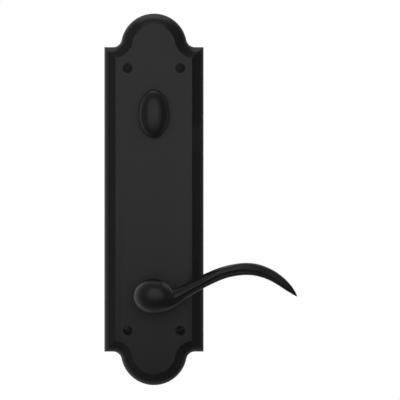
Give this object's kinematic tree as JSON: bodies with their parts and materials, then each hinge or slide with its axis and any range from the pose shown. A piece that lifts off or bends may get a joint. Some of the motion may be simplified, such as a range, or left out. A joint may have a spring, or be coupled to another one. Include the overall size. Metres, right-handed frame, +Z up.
{
  "type": "entry door handleset inside trim",
  "caption": "Long domed door plate in satin black with a moulded border, a sprung wave lever and an oval turn knob that works a deadbolt.",
  "frame": {"origin": "on the door face, at the middle of the plate's back", "axes": "+Z up, +X the way the lever points, +Y into the door"},
  "size_m": [0.1481, 0.102, 0.2856],
  "materials": {
    "satin_black": "satin",
    "black_screws": "satin",
    "plated_steel": "satin",
    "zinc_sheet": "satin",
    "cast_zinc": "matte",
    "spring_steel": "satin",
    "oiled_bronze": "satin"
  },
  "bodies": {
    "trim": {"escutcheon_plate": "satin_black", "plate_screw_upper_left": "black_screws", "plate_screw_upper_right": "black_screws", "plate_screw_lower_left": "black_screws", "plate_screw_lower_right": "black_screws", "lever_bushing": "oiled_bronze", "lever_washer": "spring_steel", "cassette_base": "zinc_sheet", "cassette_cup": "zinc_sheet", "cassette_screw_upper": "plated_steel", "cassette_screw_lower": "plated_steel", "return_spring": "spring_steel", "turn_bushing": "oiled_bronze", "turn_wave_washer": "spring_steel"},
    "lever_assembly": {"lever": "satin_black", "lever_spindle": "plated_steel", "lever_set_screw": "plated_steel", "lever_retaining_ring": "spring_steel", "drive_hub": "cast_zinc"},
    "turn_assembly": {"turn_knob": "satin_black", "turn_retaining_clip": "spring_steel", "turn_tailpiece": "plated_steel", "tailpiece_pin": "plated_steel"}
  },
  "joints": [
    {"name": "lever_swing", "type": "hinge", "parent": "trim", "child": "lever_assembly", "pos_m": [0, 0, -0.07415], "axis": [0, 1, 0], "range_deg": [-50, 50], "stiffness_Nm_per_rad": 0.86, "springref_deg": -2.04, "deforming": ["return_spring"]},
    {"name": "knob_turn", "type": "hinge", "parent": "trim", "child": "turn_assembly", "pos_m": [0, 0, 0.06555], "axis": [0, -1, 0], "range_deg": [0, 90]}
  ]
}
